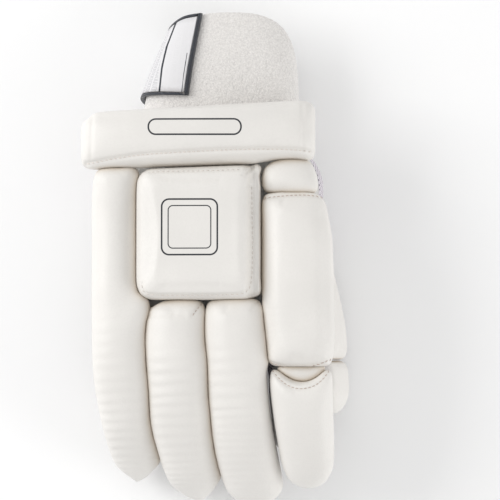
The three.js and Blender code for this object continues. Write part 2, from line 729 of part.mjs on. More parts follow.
// The cuff roll: a long padded bar across the wrist, flat in front, rounder along its lower edge.
function cuffRoll() {
  const length = cuffRight - cuffLeft;
  const round = cuffEnd;
  const base = wristHeight + cuffRaise;
  const rings = stations(length, round, round, 9).map((d) => {
    const x = cuffLeft + d;
    const end = Math.min(fullness(d, round, 0.5), fullness(length - d, round, 0.5));
    const low = cuffLow(x) + 0.3 * cuffEnd * (1 - end);
    const high = cuffHigh(x) - 0.4 * cuffEnd * (1 - end);
    const droop = cuffDroop * clamp01((Math.abs(x / backWidth) - 0.12) / 0.4) ** 2;
    const up = cuffDepth * mix(0.5, 0.58, end) * mix(0.55, 1, end);
    const down = cuffDepth * 0.42 * mix(0.7, 1, end);
    const half = (high - low) / 2;
    return ring(18, half, up, down, 3.4, (a, b) => {
      const waist = base + 0.42 * cuffDepth - droop;
      const slope = b > 0 && a < 0 ? 2.5 * (b / up) * (a / half) : 0;
      return new THREE.Vector3(x, (low + high) / 2 + a - slope, waist + b);
    });
  });
  return skin(rings);
}

// The square pad over the back of the hand: a boxed cushion with a welted lower edge.
function backPad() {
  const low = alongToY(-0.01);
  const high = cuffLow(0) - sideGap;
  const left = seamX("littleRing", high) + sideGap / 2;
  const right = seamX("middleIndex", high) - sideGap / 2;
  const layers = [
    { up: 0, in: 2.5 },
    { up: 0, in: 0.04 },
    { up: 0.16, in: 0 },
    { up: 0.42, in: 0 },
    { up: 0.68, in: 0.14 },
    { up: 0.86, in: 0.4 },
    { up: 0.96, in: 0.8 },
    { up: 1.0, in: 1.5 },
  ];
  const rings = layers.map((layer) => {
    const l = left + padSlope.left * layer.in;
    const r = right - padSlope.right * layer.in;
    const b = low + padSlope.low * layer.in;
    return ring(40, 1, 1, 1, 10, (across, along) => {
      const x = (l + r) / 2 + (across * (r - l)) / 2;
      const t = cuffLow(x) - sideGap - padSlope.high * layer.in;
      const y = mix(b, t, (along + 1) / 2);
      return lean(new THREE.Vector3(x, y, backTop(y) + clearance + padDepth * layer.up));
    });
  });
  return skin(rings);
}

// The reinforcing patch sewn on the heel of the palm: a thin sheet that follows the palm.
function palmPatch() {
  const thick = 1.4;
  const half = 0.2 * backWidth;
  const middle = -0.05 * backWidth;
  const from = 0.86 * wristSeam;
  const to = 0.14 * wristSeam;
  const underAt = (x, y) => {
    const s = palmSection(y);
    const flat = (x - (s.left + s.right) / 2) / ((s.right - s.left) / 2);
    const height = ((s.top - s.under) / 2) * (1 - Math.abs(flat) ** s.square) ** (1 / s.square);
    return (s.top + s.under) / 2 - height;
  };
  const steps = 8;
  const across = 6;
  const rings = [];
  for (let i = 0; i <= steps; i += 1) {
    const y = mix(from, to, i / steps);
    const trim = i === 0 || i === steps ? 0.9 : 1;
    const side = (share, lift) => {
      const x = middle + mix(-half, half, share) * trim;
      return lean(new THREE.Vector3(x, y, underAt(x, y) - lift));
    };
    const outline = [];
    for (let k = 0; k <= across; k += 1) outline.push(side(k / across, clearance + 0.15));
    for (let k = across; k >= 0; k -= 1) outline.push(side(k / across, clearance + 0.15 + thick));
    rings.push(outline);
  }
  return skin(rings);
}

// Finishes
const whiteLeather = new THREE.MeshStandardMaterial({ color: 0xf1eee9, roughness: 0.5, metalness: 0 });
const palmLeather = new THREE.MeshStandardMaterial({ color: 0xe6e3dd, roughness: 0.65, metalness: 0 });
const towelling = new THREE.MeshStandardMaterial({ color: 0xe7e4df, roughness: 0.95, metalness: 0 });
const strapFilm = new THREE.MeshStandardMaterial({ color: 0xeceaea, roughness: 0.45, metalness: 0 });
const navyTape = new THREE.MeshStandardMaterial({ color: 0x20242e, roughness: 0.7, metalness: 0 });

const glove = new THREE.Group();

function place(name, geometry, material) {
  const mesh = new THREE.Mesh(geometry, material);
  mesh.name = name;
  glove.add(mesh);
}

for (const [name, solid] of Object.entries(cutHand())) place(name, toGeometry(solid), palmLeather);
for (const [name, spec] of Object.entries(rolls)) place(name, fingerRoll(spec), whiteLeather);
place("index_joint_gusset", jointGusset(), whiteLeather);
const besideHand = palmSolid(-clearance).add(stallSolid(fingers.index, -clearance, webY + stallRoot));
place("thumb_base_roll", toGeometry(toSolid(thumbRoll(0.215, 0.75, false)).subtract(besideHand)), whiteLeather);
place("thumb_tip_roll", thumbRoll(0.757, 1.0, true), whiteLeather);
place("back_pad", backPad(), whiteLeather);
place("cuff_roll", cuffRoll(), whiteLeather);
place("palm_patch", palmPatch(), palmLeather);
place("wrist_band", wristBand(), towelling);
place("wrist_strap", strapPanel(), strapFilm);
place("strap_edge", strapEdge(), navyTape);

// The origin is under the middle of the glove, on the floor.
const extent = new THREE.Box3().setFromObject(glove);
const centre = extent.getCenter(new THREE.Vector3());
glove.position.set(-centre.x, -centre.y, -extent.min.z);

export default glove;
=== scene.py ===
# %% [markdown]
# # A cricket batting glove
# A batting glove is a leather hand with thick padded rolls sewn over its back. The CAD model has every
# piece already, in its place and size. This lesson dresses each one: it fills the padding, sews the
# seams and gives each material its grain.

import math

import bmesh
import bpy
import numpy as np
from mathutils import Matrix, Vector, noise
from mathutils.bvhtree import BVHTree


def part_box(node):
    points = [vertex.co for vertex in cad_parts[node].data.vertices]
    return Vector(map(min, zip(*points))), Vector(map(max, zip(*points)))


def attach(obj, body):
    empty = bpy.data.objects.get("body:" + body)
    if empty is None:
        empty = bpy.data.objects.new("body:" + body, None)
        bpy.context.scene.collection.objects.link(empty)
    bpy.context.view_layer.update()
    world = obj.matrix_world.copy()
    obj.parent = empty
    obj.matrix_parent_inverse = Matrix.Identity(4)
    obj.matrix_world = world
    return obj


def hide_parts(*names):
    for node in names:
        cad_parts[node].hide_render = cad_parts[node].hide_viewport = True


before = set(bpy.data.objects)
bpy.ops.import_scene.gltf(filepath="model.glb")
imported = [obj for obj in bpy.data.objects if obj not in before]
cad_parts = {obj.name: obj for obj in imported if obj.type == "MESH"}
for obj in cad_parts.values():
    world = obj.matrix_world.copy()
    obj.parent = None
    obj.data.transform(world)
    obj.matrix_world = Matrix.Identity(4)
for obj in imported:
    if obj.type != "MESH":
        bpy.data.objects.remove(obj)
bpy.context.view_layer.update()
MM = 0.001

# %% [markdown]
# The camera comes first. The picture looks almost straight down at the back of the hand, from far
# enough away that the glove hardly narrows with distance, so the lens is long. Any point of the
# picture can then be found on the glove by sending a ray through it.

# %% The camera and the picture's points
target = Vector((0.0185, 0.0052, 0.035))
distance, tilt, lens = 1.7, math.radians(2), 222.5
PICTURE, SENSOR = 500, 36
camera = bpy.data.objects.new("camera", bpy.data.cameras.new("camera"))
bpy.context.collection.objects.link(camera)
camera.data.lens, camera.data.sensor_width = lens, SENSOR
camera.location = target + distance * Vector((0, -math.sin(tilt), math.cos(tilt)))
camera.rotation_euler = (tilt, 0, 0)
bpy.context.scene.camera = camera
turned = camera.rotation_euler.to_matrix()


def spot(column, row, height=60):
    """Where a point of the picture lies at a height in millimetres above the floor."""
    right, up = (column - PICTURE / 2) / PICTURE * SENSOR, (PICTURE / 2 - row) / PICTURE * SENSOR
    ray = turned @ Vector((right, up, -lens))
    return camera.location + ray * ((height * MM - camera.location.z) / ray.z)


print("The middle of the picture:", [round(v / MM, 1) for v in spot(PICTURE / 2, PICTURE / 2, 35)])

# %% [markdown]
# ## Finishes
# Blender's materials are built from nodes, and sums take many of them. A small class wraps a number
# on its way along a socket, so that a sum is written as a sum and adds its own Math nodes. A second
# class holds one material and has one method for every other kind of node.

# %% Shader sums


class Wire:
    """A number carried by a socket of a finish."""

    def __init__(self, finish, socket):
        self.finish, self.socket = finish, socket

    def math(self, operation, *values):
        inputs = dict(enumerate(values))
        return self.finish.node("ShaderNodeMath", {"operation": operation}, inputs)

    def __add__(self, other):
        return self.math("ADD", self, other)

    def __sub__(self, other):
        return self.math("SUBTRACT", self, other)

    def __rsub__(self, other):
        return self.math("SUBTRACT", other, self)

    def __mul__(self, other):
        return self.math("MULTIPLY", self, other)

    def __truediv__(self, other):
        return self.math("DIVIDE", self, other)

    def __gt__(self, other):
        return self.math("GREATER_THAN", self, other)

    __radd__ = __add__
    __rmul__ = __mul__

    def size(self):
        return self.math("ABSOLUTE", self)

    def root(self):
        return self.math("SQRT", self)

    def most(self, other):
        return self.math("MAXIMUM", self, other)

    def step(self, low, high):
        """0 below low, 1 above high and soft between them."""
        settings = {"interpolation_type": "SMOOTHSTEP"}
        return self.finish.node("ShaderNodeMapRange", settings, {0: self, 1: low, 2: high})


class Finish:
    """One material."""

    def __init__(self, name, colour, roughness, **constants):
        self.material = bpy.data.materials.new(name)
        self.material.use_nodes = True
        self.tree = self.material.node_tree
        self.shader = self.tree.nodes["Principled BSDF"]
        self.shader.inputs["Base Color"].default_value = (*colour, 1)
        self.shader.inputs["Roughness"].default_value = roughness
        for socket, value in constants.items():
            self.shader.inputs[socket.replace("_", " ")].default_value = value

    def node(self, kind, settings=None, inputs=None, out=0):
        made = self.tree.nodes.new(kind)
        for setting, value in (settings or {}).items():
            setattr(made, setting, value)
        for socket, value in (inputs or {}).items():
            if isinstance(value, Wire):
                self.tree.links.new(value.socket, made.inputs[socket])
            else:
                made.inputs[socket].default_value = value
        return Wire(self, made.outputs[out])

    def place(self):
        return self.node("ShaderNodeTexCoord", out="Object")

    def split(self, vector):
        made = self.node("ShaderNodeSeparateXYZ", inputs={0: vector}).socket.node
        return [Wire(self, socket) for socket in made.outputs]

    def value(self, name):
        """A number that a mesh carries at each of its points."""
        return self.node("ShaderNodeAttribute", {"attribute_name": name}, out="Fac")

    def noise(self, vector, scale, detail=2.0, roughness=0.5):
        inputs = {"Vector": vector, "Scale": scale, "Detail": detail, "Roughness": roughness}
        return self.node("ShaderNodeTexNoise", None, inputs)

    def cells(self, vector, scale, feature="F1"):
        return self.node("ShaderNodeTexVoronoi", {"feature": feature}, {"Vector": vector, "Scale": scale})

    def mix(self, share, below, above):
        """One colour laid over another."""
        return self.node("ShaderNodeMix", {"data_type": "RGBA"}, {0: share, 6: below, 7: above}, out=2)

    def use(self, **links):
        """Joins wires to the shader's own sockets."""
        for socket, wire in links.items():
            self.tree.links.new(wire.socket, self.shader.inputs[socket.replace("_", " ")])
        return self

    def bump(self, height, millimetres, under=None):
        inputs = {"Distance": millimetres * MM, "Height": height}
        if under is not None:
            inputs["Normal"] = under
        return self.node("ShaderNodeBump", None, inputs)


def shade(colour, amount):
    """A colour made lighter or darker, with its alpha."""
    return (*[min(1.0, c * amount) for c in colour[:3]], 1)


print("Finishes can be made")

# %% [markdown]
# The gussets between the fingers are an open knitted mesh that lets the hand breathe: a pale lavender
# net with a hole at every crossing. The holes are painted dark, as painted shade for the shadowed
# inside of the glove that shows through them. The net is sewn into the leather hand, so it's part of
# the palm leather's finish: each point of the hand carries whether it's net, and the shader draws the
# holes on a grid that stands upright, as the gussets do.

# %% Knitted mesh
# The dark hole colour is painted shade for the glove's inside seen through the net.
NET, PAINTED_HOLE_SHADE = (0.74, 0.70, 0.745), (0.27, 0.24, 0.28)
NET_CELL, NET_LEAN = 2.3, 0.6


def grid(u, v, wide, tall):
    """How far a point is from the middle of its cell in a grid, along each side, from 0 to 0.5."""
    cells = (u / wide, v / tall)
    return [(cell.math("FRACT", cell) - 0.5).size() for cell in cells]


def net(finish):
    """The net's colour, with painted shade in its holes, and how high its threads stand."""
    _, y, z = finish.split(finish.place())
    a, b = grid(y + z * NET_LEAN, z - y * NET_LEAN, NET_CELL * MM, NET_CELL * MM)
    away = (a * a + b * b).root()
    return finish.mix(1 - away.step(0.2, 0.28), (*NET, 1), (*PAINTED_HOLE_SHADE, 1)), away.step(0.18, 0.42)


def frame_mark(finish, middle, half, corner, width):
    """A thin printed outline with round corners, seen from above. Sizes are in millimetres."""
    x, y, z = finish.split(finish.place())
    far = []
    for wire, centre, reach in ((x, middle.x, half[0]), (y, middle.y, half[1])):
        offset = (wire - centre).size() - (reach - corner) * MM
        far.append(offset.most(0.0) / MM)
    gap = ((far[0] * far[0] + far[1] * far[1]).root() - corner).size()
    soft = 0.08
    return (1 - gap.step(width / 2 - soft, width / 2 + soft)) * (z > middle.z)


print(f"Net with a hole every {NET_CELL} mm")

# %% [markdown]
# The padding is covered in soft white coated leather. Close up it has a fine pebbled grain, and the
# white is a little creamier in places. Down in the narrow gaps between the pads the colour is painted
# darker and warmer: painted shade, warmed as by the light the rolls reflect into each other. Where a
# roll bends, the leather gathers into soft ribs across it. The ribs get closer towards the fingertip,
# so each point of a roll carries how many ribs lie above it, and the shader turns that count into
# waves.
# The pad and the bar over the wrist carry a plain printed outline, drawn from the distance to a box
# with round corners.

# %% White leather
WHITE, INK = (0.80, 0.778, 0.745), (0.02, 0.023, 0.03)


def leather(name, colour, roughness, grain, ribs=False, marks=(), hand=False):
    finish = Finish(name, colour, roughness, Specular_IOR_Level=0.42)
    place = finish.place()
    drift = finish.noise(place, 38, 3)
    fine = finish.noise(place, 420, 3)
    pebbles = finish.cells(place, 1150, "SMOOTH_F1")
    tone = finish.mix(drift.step(0.35, 0.7), shade(colour, 0.975), shade(colour, 1.01))
    tone = finish.mix(pebbles.step(0.35, 0.75) * 0.25, tone, shade(colour, 0.93))
    # Painted shade: in the narrow gaps between pads the leather turns darker and warmer, as shade and the
    # warm light the rolls reflect into each other.
    painted_gap_shade = (colour[0] * 0.88, colour[1] * 0.81, colour[2] * 0.72, 1)
    tone = finish.mix(finish.value("painted_crevice_shade").step(0.0, 1.0), tone, painted_gap_shade)
    under = finish.bump(fine, 0.06)
    if ribs:
        count = finish.value("ribs") + (finish.noise(place, 55, 2) - 0.5) * 0.3
        wave = 0.5 - count.math("COSINE", count * 2 * math.pi) * 0.5
        depth = finish.value("rib_depth") * (0.5 + finish.noise(place, 60, 2))
        under = finish.bump(wave * depth, 1.0, under)
    rough = roughness - 0.05 + fine * 0.1
    for mark in marks:
        ink = frame_mark(finish, *mark)
        tone = finish.mix(ink, tone, (*INK, 1))
        rough = rough + ink * 0.12
        under = finish.bump(ink, 0.05, under)
    if hand:
        threads, height = net(finish)
        gusset = finish.value("net").step(0.42, 0.5)
        tone = finish.mix(gusset, tone, threads)
        rough = rough + gusset * 0.2
        under = finish.bump(height * gusset, 0.35, under)
    normal = finish.bump(pebbles, grain, under)
    return finish.use(Base_Color=tone, Roughness=rough, Normal=normal).material


pad_mark = (spot(190, 228, 56), (15, 15), 4, 0.9)
inner_mark = (spot(190, 228, 56), (11.5, 11.5), 2.5, 0.6)
cuff_mark = (spot(195, 128, 60), (25, 4.2), 4, 0.9)
white_leather = leather("white_leather", WHITE, 0.46, 0.05, ribs=True)
pad_leather = leather("pad_leather", WHITE, 0.46, 0.05, marks=(pad_mark, inner_mark))
cuff_leather = leather("cuff_leather", WHITE, 0.46, 0.05, marks=(cuff_mark,))
palm_leather = leather("palm_leather", (0.74, 0.73, 0.715), 0.6, 0.09, hand=True)
print("White leather for the padding and a drier, greyer one for the palm")

# %% [markdown]
# The wristband is towelling, which is thousands of tiny loops. At this size a loop is about half a
# millimetre, so the larger lumps are real in the mesh and the loops are bump. Loops scatter light at
# their edges, which sheen stands for.

# %% Towelling
TOWEL = (0.79, 0.765, 0.74)
finish = Finish("towelling", TOWEL, 0.95, Sheen_Weight=0.35, Sheen_Roughness=0.6)
place = finish.place()
loops = finish.cells(place, 1100)
tufts = finish.noise(place, 950, 2)
tone = finish.mix(loops.step(0.2, 0.75), shade(TOWEL, 1.04), shade(TOWEL, 0.93))
tone = finish.mix(tufts.step(0.52, 0.68) * 0.6, tone, shade(TOWEL, 0.82))
normal = finish.bump(loops * -1, 0.2, finish.bump(tufts, 0.4))
towelling = finish.use(Base_Color=tone, Normal=normal).material
print("Towelling with loops")

# %% [markdown]
# The strap is a smooth coated film, and its edge is bound with woven navy tape. Rows of small boxes
# are printed on it. They follow the strap round the wrist, so they read a UV map that holds the
# distance along the strap and across it, in metres. The two dark lines cross the strap on its upper
# side only, and there each point carries how far it lies beside them, in millimetres. Thread is a
# twisted yarn, a little warmer than the leather. The white thread is also painted a little darker than
# the leather, as painted shade for the small shadows round its stitches.

# %% Strap film, navy tape and thread
NAVY = (0.018, 0.022, 0.032)
FILM = (0.72, 0.712, 0.722)
THIN_FROM = -spot(188, 52, 47).y


def film(name):
    finish = Finish(name, FILM, 0.5, Specular_IOR_Level=0.35)
    u, v, _ = finish.split(finish.node("ShaderNodeUVMap", {"uv_map": "wrap"}))
    place = finish.place()
    _, y, z = finish.split(place)
    drift, weave = finish.noise(place, 60, 2), finish.noise(place, 900, 2)
    wide, tall, half_box, half_row = 4.2, 1.9, 1.15, 0.42
    a, b = grid(u, v, wide * MM, tall * MM)
    edge = (a * wide - half_box).most(b * tall - half_row)
    outline = edge.step(0, 0.06) * (1 - edge.step(0.26, 0.34))
    from_line, from_thin = finish.value("from_line"), finish.value("from_thin")
    ragged = finish.noise(place, 160, 2) * 0.3
    bold = 1 - (from_line.size() + ragged).step(0.6, 0.72)
    thin = (1 - (from_thin.size() + ragged).step(0.3, 0.42)) * (y * -1 > THIN_FROM)
    lines = (bold + thin) * (z > 30 * MM)
    tone = finish.mix(drift.step(0.4, 0.7), shade(FILM, 0.985), shade(FILM, 1.015))
    tone = finish.mix(outline * (from_line * -1).step(1.5, 1.7) * 0.8, tone, (0.4, 0.4, 0.42, 1))
    tone = finish.mix(lines, tone, (*NAVY, 1))
    normal = finish.bump(outline, 0.03, finish.bump(weave, 0.03))
    return finish.use(Base_Color=tone, Normal=normal).material


def tape(name):
    finish = Finish(name, NAVY, 0.62, Sheen_Weight=0.3)
    place = finish.place()
    x, y, z = finish.split(place)
    a, b = grid(x + y, x - y + z, 0.75 * MM, 0.75 * MM)
    worn = finish.noise(place, 260, 4, 0.65)
    tone = finish.mix(worn.step(0.6, 0.76) * 0.35, (*NAVY, 1), (0.14, 0.15, 0.18, 1))
    normal = finish.bump(1 - a.most(b), 0.12, finish.bump(worn, 0.15))
    return finish.use(Base_Color=tone, Normal=normal).material


def yarn(name, colour):
    finish = Finish(name, colour, 0.7)
    twist = finish.noise(finish.place(), 1800, 2)
    tone = finish.mix(twist.step(0.4, 0.65), shade(colour, 0.9), shade(colour, 1.05))
    return finish.use(Base_Color=tone, Normal=finish.bump(twist, 0.06)).material


strap_film, navy_tape = film("strap_film"), tape("navy_tape")
# The white thread's colour is partly painted shade: darker than the leather for the shadows round each
# stitch.
white_thread_with_painted_shade = yarn("white_thread_with_painted_shade", (0.76, 0.71, 0.66))
rose_thread = yarn("rose_thread", (0.60, 0.51, 0.45))
grey_thread = yarn("grey_thread", (0.3, 0.29, 0.29))
print("Film, tape and three threads")

# %% [markdown]
# ## Ways to shape a piece
# Every soft piece starts as a copy of its CAD solid. The copy's loose triangles are merged, paired
# into quads and rounded by a Subdivision Surface. A modifier is applied by reading the finished mesh
# back from Blender, and points are moved as one table of numbers, which is quick.

# %% Copies and their points


def settle(piece):
    """Applies a piece's modifiers."""
    finished = piece.evaluated_get(bpy.context.evaluated_depsgraph_get())
    old, piece.data = piece.data, bpy.data.meshes.new_from_object(finished)
    piece.modifiers.clear()
    bpy.data.meshes.remove(old)
    return piece


def smoothed(piece, levels):
    rounder = piece.modifiers.new("rounder", "SUBSURF")
    rounder.levels = rounder.render_levels = levels
    return settle(piece)


def through(piece):
    """Rounds a piece so that the smooth surface still passes through the solid's own points."""
    wanted = points(piece)
    cage = wanted.copy()
    limit = 0.8 * MM
    for _ in range(3):
        trial = bpy.data.objects.new("trial", piece.data.copy())
        bpy.context.collection.objects.link(trial)
        cage += wanted - points(smoothed(trial, 1))[: len(wanted)]
        bpy.data.meshes.remove(trial.data)
        cage = wanted + np.clip(cage - wanted, -limit, limit)
        move_to(piece, cage)
    return smoothed(piece, 2)


def new_piece(name, shell):
    mesh = bpy.data.meshes.new(name)
    shell.to_mesh(mesh)
    shell.free()
    piece = bpy.data.objects.new(name, mesh)
    bpy.context.collection.objects.link(piece)
    return piece


def copy_of(node, name, corners=None):
    """A merged copy of a CAD solid, in quads where it can be, with its sharp corners kept if asked."""
    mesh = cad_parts[node].data.copy()
    for layer in ("custom_normal", "sharp_edge", "sharp_face", "UVMap"):
        if layer in mesh.attributes:
            mesh.attributes.remove(mesh.attributes[layer])
    mesh.materials.clear()
    shell = bmesh.new()
    shell.from_mesh(mesh)
    bpy.data.meshes.remove(mesh)
    bmesh.ops.remove_doubles(shell, verts=shell.verts, dist=1e-6)
    bmesh.ops.join_triangles(
        shell, faces=shell.faces, angle_face_threshold=0.6, angle_shape_threshold=1.2
    )
    if corners is not None:
        crease = shell.edges.layers.float.new("crease_edge")
        for edge in shell.edges:
            if edge.is_manifold and edge.calc_face_angle() > math.radians(corners):
                edge[crease] = 1.0
    return new_piece(name, shell)


def points(piece, what="co"):
    """A piece's points, or their normals, as one table."""
    table = np.empty(len(piece.data.vertices) * 3, dtype=np.float32)
    piece.data.vertices.foreach_get(what, table)
    return table.reshape(-1, 3)


def move_to(piece, table):
    piece.data.vertices.foreach_set("co", table.astype(np.float32).ravel())
    piece.data.update()


def lump(piece, place, height, width, way=None):
    """Raises a rounded lump on a piece, or moves the part near a place one way. Sizes are in mm."""
    table, normal = points(piece), points(piece, "normal")
    far = np.hypot(table[:, 0] - place[0], table[:, 1] - place[1])
    near = np.exp(-((far / (width * MM)) ** 2))
    move_to(piece, table + (normal if way is None else np.array(way)) * (near * height * MM)[:, None])


def carry(piece, name, values):
    """Gives each point of a piece a number that its finish reads."""
    layer = piece.data.attributes.new(name, "FLOAT", "POINT")
    layer.data.foreach_set("value", np.asarray(values, dtype=np.float32))


def dress(piece, material, slot, *nodes, fill=None):
    """Gives a finished piece its material, its place in the frame and the nodes it stands for."""
    piece.data.materials.clear()
    piece.data.materials.append(material)
    piece.data.shade_smooth()
    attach(piece, "root")
    if nodes:
        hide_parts(*nodes)
    print(f"{piece.name}: {len(piece.data.polygons)} faces")


print("Copies can be made")

# %% [markdown]
# Padding is foam and cane inside a tight cover, and a Cloth simulation fills it as air would: pressure
# pushes the cover out, and its underside is pinned because it's sewn to the hand. Cloth settings
# suit things the size of a cushion, so the piece is filled at twenty times its size. Each point's
# move is then capped, more on top than at the sides, where the next roll is close. At last the pads
# are pressed together: each roll grows until it nearly touches its neighbour, more on its right side,
# because every roll leans over the one to its left. The square pad and the bar across the wrist are
# firm and stay as they are.

# %% Filling the padding
BIG = 20


def remeshed(piece, voxel):
    """A piece rebuilt as an even grid of quads, with cells of a size in millimetres."""
    rebuilder = piece.modifiers.new("rebuilder", "REMESH")
    rebuilder.mode, rebuilder.voxel_size = "VOXEL", voxel * MM
    return settle(piece)


def relax(piece, rounds):
    """Evens out a surface."""
    shell = bmesh.new()
    shell.from_mesh(piece.data)
    for _ in range(rounds):
        bmesh.ops.smooth_vert(
            shell, verts=shell.verts, factor=0.5, use_axis_x=True, use_axis_y=True, use_axis_z=True
        )
    shell.to_mesh(piece.data)
    shell.free()


def swell(piece, pressure, crown):
    """Fills a piece. side and crown are the most its sides and its top may move, in millimetres."""
    side = 0.25
    start, facing = points(piece), points(piece, "normal")
    group = piece.vertex_groups.new(name="sewn")
    group.add([int(i) for i in np.nonzero(facing[:, 2] < -0.25)[0]], 1.0, "REPLACE")
    move_to(piece, start * BIG)
    cloth = piece.modifiers.new("cover", "CLOTH")
    cover = cloth.settings
    cover.use_pressure, cover.uniform_pressure_force = True, pressure
    cover.effector_weights.gravity = 0
    cover.vertex_group_mass = "sewn"
    for moment in range(1, 21):
        bpy.context.scene.frame_set(moment)
    settle(piece)
    bpy.context.scene.frame_set(1)
    moved = points(piece) / BIG - start
    limit = (side + (crown - side) * np.clip(facing[:, 2], 0, 1) ** 1.5) * MM
    length = np.linalg.norm(moved, axis=1) + 1e-9
    move_to(piece, start + moved * np.minimum(1, limit / length)[:, None])
    piece.vertex_groups.clear()
    return float(length.max() / MM)


def padding(node, name, voxel=1.6, pressure=6.0, crown=1.3):
    """A filled, rounded copy of a padded CAD solid."""
    piece = remeshed(through(copy_of(node, name)), voxel)
    relax(piece, 2)
    most = swell(piece, pressure, crown)
    print(f"{name} swelled by up to {most:.1f} mm before its cap")
    relax(piece, 1)
    return piece


def spread(piece, values, rounds):
    """Evens out a number over a piece, along its edges."""
    pairs = np.empty(len(piece.data.edges) * 2, dtype=np.int32)
    piece.data.edges.foreach_get("vertices", pairs)
    a, b = pairs.reshape(-1, 2).T
    count = np.bincount(pairs, minlength=len(values)) + 1
    for _ in range(rounds):
        total = values + np.bincount(a, values[b], len(values)) + np.bincount(b, values[a], len(values))
        values = total / count
    return values


def surface_of(*pieces):
    """What rays are cast at."""
    shell = bmesh.new()
    for piece in pieces:
        shell.from_mesh(piece.data)
    tree = BVHTree.FromBMesh(shell)
    shell.free()
    return tree


def room_beside(piece, others):
    """How far each point of a piece can move outwards before it meets the others, in millimetres."""
    room = np.full(len(piece.data.vertices), np.inf)
    if others:
        tree, sight = surface_of(*others), 12 * MM
        for i, (place, way) in enumerate(zip(points(piece), points(piece, "normal"))):
            if way[2] > -0.6:
                hit, facing, _, far = tree.ray_cast(Vector(place), Vector(way), sight)
                if hit is not None and facing.dot(Vector(way)) < -0.1:
                    room[i] = far / MM
    return room


def press(soft, firm=(), most=1.7):
    """Lets soft pads swell until they nearly touch each other and the firm ones, and paints shade into
    the narrow gaps between them.
    """
    moves, left = {}, 0.02
    for piece in [p for p in (*soft, *firm) if "painted_crevice_shade" not in p.data.attributes]:
        near = room_beside(piece, [other for other in soft if other is not piece])
        fixed = room_beside(piece, [other for other in firm if other is not piece])
        share = 0.5 + 0.3 * np.clip(points(piece, "normal")[:, 0] * 2, -1, 1)
        room = np.minimum(near, fixed / share)
        fade = np.clip(1 - (room - 2 * most) / (1.5 * most), 0, 1)
        move = np.clip(np.minimum(room - left, 2 * most) * share, 0, None) * fade * (piece in soft)
        # How close the next pad is, kept as painted shade for the leather: darker and warmer in narrow
        # gaps.
        gap = np.clip(1 - np.minimum(near, fixed) / 8, 0, 1) * (1.2 if piece in soft else 0.5)
        moves[piece] = (spread(piece, move, 4), spread(piece, gap, 9))
    for piece, (move, gap) in moves.items():
        move_to(piece, points(piece) + points(piece, "normal") * (move * MM)[:, None])
        carry(piece, "painted_crevice_shade", np.clip(gap, 0, 1))
        smoothed(piece, 1)
    print(f"{len(soft)} pads pressed, by up to {max(move.max() for move, _ in moves.values()):.1f} mm")


print("Padding can be filled and pressed")

# %% [markdown]
# Seams come after the filling. A seam is a line of points on the glove: the leather dips along it,
# and stitches lie in the dip. The dip moves every point near the line, and the stitches are small
# grains of yarn dropped onto the surface by a ray and turned to lie along the line.

# %% Seams and stitches


def along(line, spacing):
    """Points at an even spacing on a line, and the line's direction at each."""
    line = np.array([tuple(p) for p in line])
    steps = np.linalg.norm(np.diff(line, axis=0), axis=1)
    reach = np.concatenate([[0], np.cumsum(steps)])
    count = max(2, round(reach[-1] / spacing))
    at = (np.arange(count) + 0.5) / count * reach[-1]
    before, place, after = [
        np.stack([np.interp(at + offset, reach, line[:, k]) for k in range(3)], axis=1)
        for offset in (-spacing / 4, 0, spacing / 4)
    ]
    step = after - before
    return place, step / (np.linalg.norm(step, axis=1)[:, None] + 1e-12)


def rounded(line):
    """The same line with its corners eased."""
    line = [Vector(p) for p in line]
    for _ in range(2):
        eased = [line[0]]
        for a, b in zip(line, line[1:]):
            eased += [a.lerp(b, 0.25), a.lerp(b, 0.75)]
        line = eased + [line[-1]]
    return line


def away_from(line, table, across):
    """How far each point of a table is from a line, leaving out the direction across."""
    line = np.array([tuple(p) for p in line])
    flat = np.eye(3) - np.outer(across, across)
    line, table = line @ flat, table @ flat
    best = np.full(len(table), 1e9)
    for a, b in zip(line, line[1:]):
        ab = b - a
        share = np.clip(((table - a) @ ab) / (ab @ ab + 1e-18), 0, 1)
        best = np.minimum(best, np.linalg.norm(table - a - share[:, None] * ab, axis=1))
    return best


UP = np.array((0.0, 0.0, 1.0))


def dip(piece, line, depth, width, facing=UP):
    """Presses a line into a piece, on the side that faces the given way."""
    table, normal = points(piece), points(piece, "normal")
    near = np.exp(-((away_from(line, table, facing) / (width * MM)) ** 2))
    near *= np.clip((normal @ facing) * 2.5, 0, 1)
    move_to(piece, table - normal * (near * depth * MM)[:, None])


def stitches(name, piece, lines, thread, spacing=2.6, length=1.9, thick=0.34, facing=UP):
    """Rows of stitches on a piece. Each stitch is a grain of yarn that lies on the surface."""
    tree, facing = surface_of(piece), Vector(facing)
    size = Matrix.Diagonal((length / 2 * MM, thick * MM, thick * MM, 1))
    shell = bmesh.new()
    count = 0
    for line in lines:
        for place, step in zip(*along(line, spacing * MM)):
            hit, normal, _, _ = tree.ray_cast(Vector(place) + facing * 0.12, -facing, 0.25)
            if hit is not None:
                step = Vector(step)
                step = (step - normal * step.dot(normal)).normalized()
                turn = Matrix((step, normal.cross(step), normal)).transposed().to_4x4()
                seat = Matrix.Translation(hit + normal * (thick / 4 * MM)) @ turn @ size
                bmesh.ops.create_uvsphere(shell, u_segments=6, v_segments=4, radius=1, matrix=seat)
                count += 1
    dress(new_piece(name, shell), thread, "white_leather")
    print(f"{name}: {count} stitches")


print("Seams can be sewn")

# %% [markdown]
# ## The padded pieces
# All of the padding is filled first, and then pressed together: three long rolls over the little,
# ring and middle fingers, three short ones over the index finger with a small pad in the hollow at
# its joint, two on the thumb, the square pad over the hand and the bar across the wrist. A few corners
# are pushed out or drawn in first, because real pads squeeze into each other's corners.

